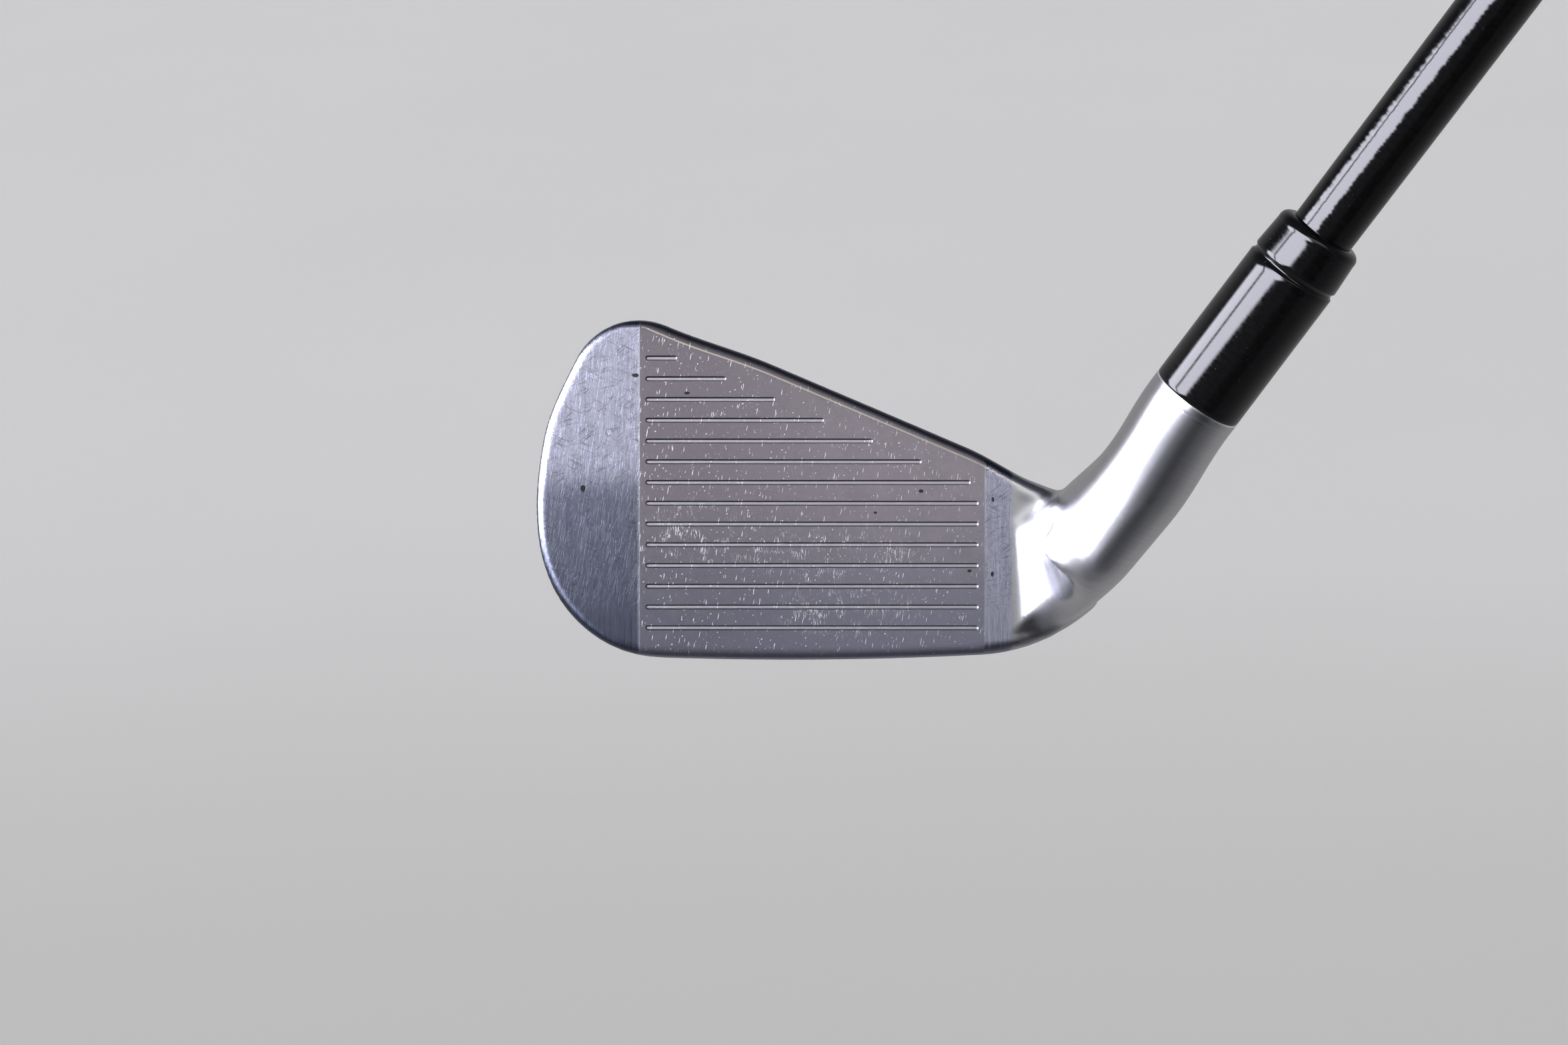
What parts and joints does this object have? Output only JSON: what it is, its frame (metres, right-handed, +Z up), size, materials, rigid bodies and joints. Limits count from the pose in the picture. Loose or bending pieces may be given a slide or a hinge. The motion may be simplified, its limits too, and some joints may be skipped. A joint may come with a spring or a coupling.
{
  "type": "iron golf club",
  "caption": "Right-handed cavity-back iron with a grooved face, bent neck and hosel, ferrule, tapered graphite shaft and rubber grip, standing at address.",
  "frame": {"origin": "the point of the sole that touches the ground at address, under the middle of the scoring lines", "axes": "+Z up, the face looks towards -Y (the target line), +X from the toe to the heel; the shaft rises towards +X at the lie angle in a plane of constant Y"},
  "size_m": [0.5773, 0.0395, 0.8316],
  "materials": {
    "head_steel": "satin chrome plate over forged steel: blasted strike area, brushed toe and polished hosel",
    "damper_elastomer": "moulded matt elastomer",
    "weight_metal": "turned sintered tungsten alloy",
    "foam_tape": "acrylic foam tape",
    "badge_metal": "blasted anodised dark grey with bright chamfers",
    "shaft_gloss": "black gloss lacquer over carbon fibre laminate",
    "epoxy": "cured epoxy",
    "plug_brass": "turned brass",
    "ferrule_gloss": "polished black cellulose",
    "paper_tape": "creped double-sided paper tape",
    "grip_rubber": "moulded rubber with a fine relief pattern",
    "cap_rubber": "smooth harder rubber"
  },
  "bodies": {
    "root": {"head_body": "head_steel", "cavity_damper": "damper_elastomer", "toe_weight": "weight_metal", "badge_tape": "foam_tape", "cavity_badge": "badge_metal", "shaft": "shaft_gloss", "hosel_epoxy": "epoxy", "tip_plug": "plug_brass", "ferrule": "ferrule_gloss", "grip_tape": "paper_tape", "grip_sleeve": "grip_rubber", "grip_cap": "cap_rubber"}
  },
  "joints": []
}
